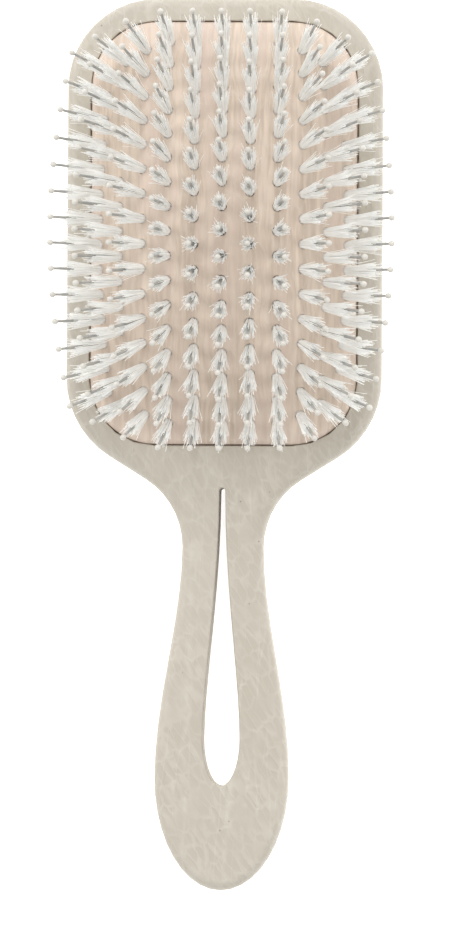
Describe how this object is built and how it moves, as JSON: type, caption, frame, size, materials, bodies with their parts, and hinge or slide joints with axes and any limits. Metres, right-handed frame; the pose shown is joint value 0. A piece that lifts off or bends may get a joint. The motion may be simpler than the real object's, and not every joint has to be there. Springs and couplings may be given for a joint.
{
  "type": "paddle hair brush",
  "caption": "Flat paddle hair brush with a loop handle and a domed rubber cushion that carries ball-tipped pins in staggered columns.",
  "frame": {"origin": "middle of the back face, under the centre of the whole brush", "axes": "+Y from the handle to the head, +Z out of the cushion along the pins, +X across the head; the brush lies on its flat back"},
  "size_m": [0.0953, 0.245, 0.045],
  "materials": {
    "body_plastic": "matte cream plastic with a fine embossed leaf-vein net",
    "frame_plastic": "plain matte",
    "cushion_rubber": "matte beige rubber with a wavy lengthwise grain",
    "pin_nylon": "smooth translucent grey shaft with an off-white ball"
  },
  "bodies": {
    "brush_body": {"paddle_body": "body_plastic", "cushion_frame": "frame_plastic"},
    "cushion": {"cushion_pad": "cushion_rubber"},
    "row_01": {"pin_row_01": "pin_nylon"},
    "row_02": {"pin_row_02": "pin_nylon"},
    "row_03": {"pin_row_03": "pin_nylon"},
    "row_04": {"pin_row_04": "pin_nylon"},
    "row_05": {"pin_row_05": "pin_nylon"},
    "row_06": {"pin_row_06": "pin_nylon"},
    "row_07": {"pin_row_07": "pin_nylon"},
    "row_08": {"pin_row_08": "pin_nylon"},
    "row_09": {"pin_row_09": "pin_nylon"},
    "row_10": {"pin_row_10": "pin_nylon"},
    "row_11": {"pin_row_11": "pin_nylon"}
  },
  "joints": [
    {"name": "cushion_press", "type": "slide", "parent": "brush_body", "child": "cushion", "axis": [0, 0, 1], "range_m": [-0.0025, 0], "stiffness_N_per_m": 4000},
    {"name": "row_01_lean", "type": "hinge", "parent": "cushion", "child": "row_01", "pos_m": [-0.03236, 0.0579, 0.0138], "axis": [0, 1, 0], "range_deg": [-8, 8], "stiffness_Nm_per_rad": 0.2},
    {"name": "row_02_lean", "type": "hinge", "parent": "cushion", "child": "row_02", "pos_m": [-0.02742, 0.0579, 0.01589], "axis": [0, 1, 0], "range_deg": [-8, 8], "stiffness_Nm_per_rad": 0.2},
    {"name": "row_03_lean", "type": "hinge", "parent": "cushion", "child": "row_03", "pos_m": [-0.02155, 0.0579, 0.01743], "axis": [0, 1, 0], "range_deg": [-8, 8], "stiffness_Nm_per_rad": 0.2},
    {"name": "row_04_lean", "type": "hinge", "parent": "cushion", "child": "row_04", "pos_m": [-0.01494, 0.0579, 0.01838], "axis": [0, 1, 0], "range_deg": [-8, 8], "stiffness_Nm_per_rad": 0.2},
    {"name": "row_05_lean", "type": "hinge", "parent": "cushion", "child": "row_05", "pos_m": [-0.00767, 0.0579, 0.01902], "axis": [0, 1, 0], "range_deg": [-8, 8], "stiffness_Nm_per_rad": 0.2},
    {"name": "row_06_lean", "type": "hinge", "parent": "cushion", "child": "row_06", "pos_m": [0, 0.0579, 0.01919], "axis": [0, 1, 0], "range_deg": [-8, 8], "stiffness_Nm_per_rad": 0.2},
    {"name": "row_07_lean", "type": "hinge", "parent": "cushion", "child": "row_07", "pos_m": [0.00767, 0.0579, 0.01902], "axis": [0, 1, 0], "range_deg": [-8, 8], "stiffness_Nm_per_rad": 0.2},
    {"name": "row_08_lean", "type": "hinge", "parent": "cushion", "child": "row_08", "pos_m": [0.01494, 0.0579, 0.01838], "axis": [0, 1, 0], "range_deg": [-8, 8], "stiffness_Nm_per_rad": 0.2},
    {"name": "row_09_lean", "type": "hinge", "parent": "cushion", "child": "row_09", "pos_m": [0.02155, 0.0579, 0.01743], "axis": [0, 1, 0], "range_deg": [-8, 8], "stiffness_Nm_per_rad": 0.2},
    {"name": "row_10_lean", "type": "hinge", "parent": "cushion", "child": "row_10", "pos_m": [0.02742, 0.0579, 0.01589], "axis": [0, 1, 0], "range_deg": [-8, 8], "stiffness_Nm_per_rad": 0.2},
    {"name": "row_11_lean", "type": "hinge", "parent": "cushion", "child": "row_11", "pos_m": [0.03236, 0.0579, 0.0138], "axis": [0, 1, 0], "range_deg": [-8, 8], "stiffness_Nm_per_rad": 0.2}
  ]
}
